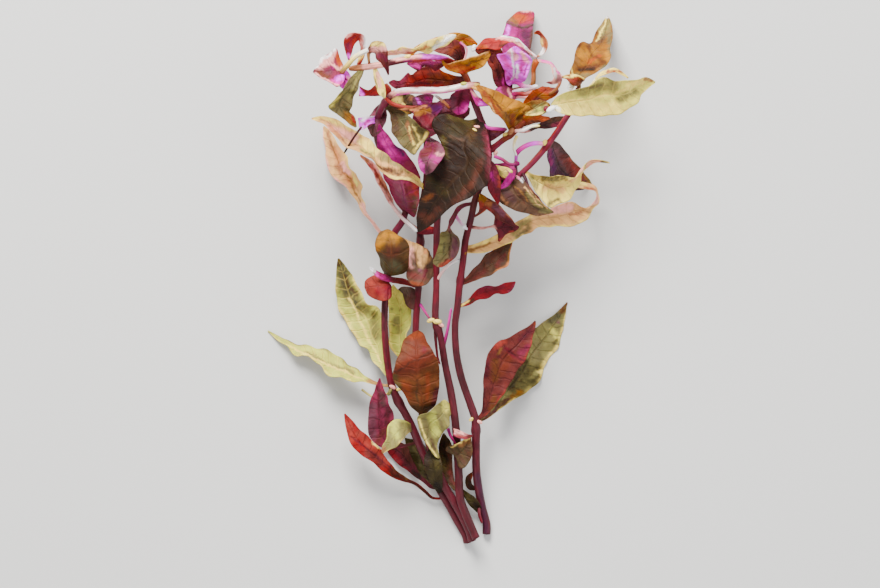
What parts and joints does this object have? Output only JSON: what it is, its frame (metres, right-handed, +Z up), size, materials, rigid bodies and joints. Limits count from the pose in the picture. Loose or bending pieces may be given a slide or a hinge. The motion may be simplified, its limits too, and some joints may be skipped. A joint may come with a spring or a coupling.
{
  "type": "alternanthera reineckii",
  "caption": "Cut bunch of a red aquarium stem plant lying down: crimson stems that fork into a crown, with crumpled pink, red, brown and pale leaves.",
  "frame": {"origin": "middle of the underside of the whole bunch's box, on the surface it lies on", "axes": "+Y along the stems toward the crown, +X to the picture's right, +Z up from the surface"},
  "size_m": [0.1945, 0.2684, 0.0822],
  "materials": {
    "stem": "smooth crimson skin with a wet gleam",
    "pale": "pale yellow-green leaf with brown blotches",
    "cream": "cream-green leaf, washed out by the light",
    "peach": "peach leaf with cream margins",
    "olive": "olive-khaki leaf",
    "brown": "dark olive-brown leaf with fine veins",
    "mustard": "mustard-gold leaf",
    "orange": "orange-brown leaf",
    "red": "coral to brick-red leaf",
    "maroon": "dark maroon leaf",
    "magenta": "magenta leaf with a red side",
    "pink": "hot-pink to lilac leaf"
  },
  "bodies": {
    "root": {"stem_left": "stem", "stem_mid_left": "stem", "stem_centre": "stem", "stem_right": "stem", "stem_right_branch": "stem", "stem_inner_branch": "stem", "stem_inner_shoot": "stem", "stem_top_twig": "stem", "leaf_pale_far_left": "pale", "leaf_blotched_left": "pale", "leaf_pale_mid_left": "pale", "leaf_orange_folded": "orange", "leaf_magenta_left": "magenta", "leaf_red_lower_left": "red", "leaf_dark_red_low": "maroon", "leaf_cream_left": "cream", "leaf_cream_centre": "cream", "leaf_olive_back": "olive", "leaf_olive_front": "olive", "leaf_brown_centre": "brown", "leaf_red_right": "red", "leaf_olive_right": "olive", "leaf_red_small_right": "red", "leaf_brown_mid_right": "brown", "leaf_grey_green": "olive", "leaf_mustard_dome": "mustard", "leaf_pink_brown_mid": "brown", "leaf_magenta_spike": "pink", "leaf_peach_long_right": "peach", "leaf_maroon_fold": "maroon", "leaf_big_brown": "brown", "leaf_brown_creased": "brown", "leaf_maroon_mid": "magenta", "leaf_cup_right": "cream", "leaf_purple_right": "maroon", "leaf_peach_far_left": "peach", "leaf_peach_crossing": "peach", "leaf_hot_pink_left": "pink", "leaf_orange_narrow_left": "orange", "leaf_olive_crown": "cream", "leaf_pink_mauve": "pink", "leaf_crimson_crown": "red", "leaf_mustard_crown": "mustard", "leaf_orange_brown": "orange", "leaf_orange_right": "orange", "leaf_pale_big_right": "pale", "leaf_mustard_top_right": "mustard", "leaf_lilac_top": "pink", "leaf_maroon_top": "maroon", "leaf_tall_top": "magenta", "leaf_red_arched_top": "red", "leaf_ring_top": "cream", "leaf_orange_long_top": "orange", "leaf_crimson_lobed": "red", "leaf_white_arch": "cream", "leaf_golden_arch": "mustard", "leaf_rolled_left": "magenta", "leaf_petal_loop": "pink", "leaf_hanging_top_left": "red", "leaf_olive_hanging": "olive"}
  },
  "joints": []
}
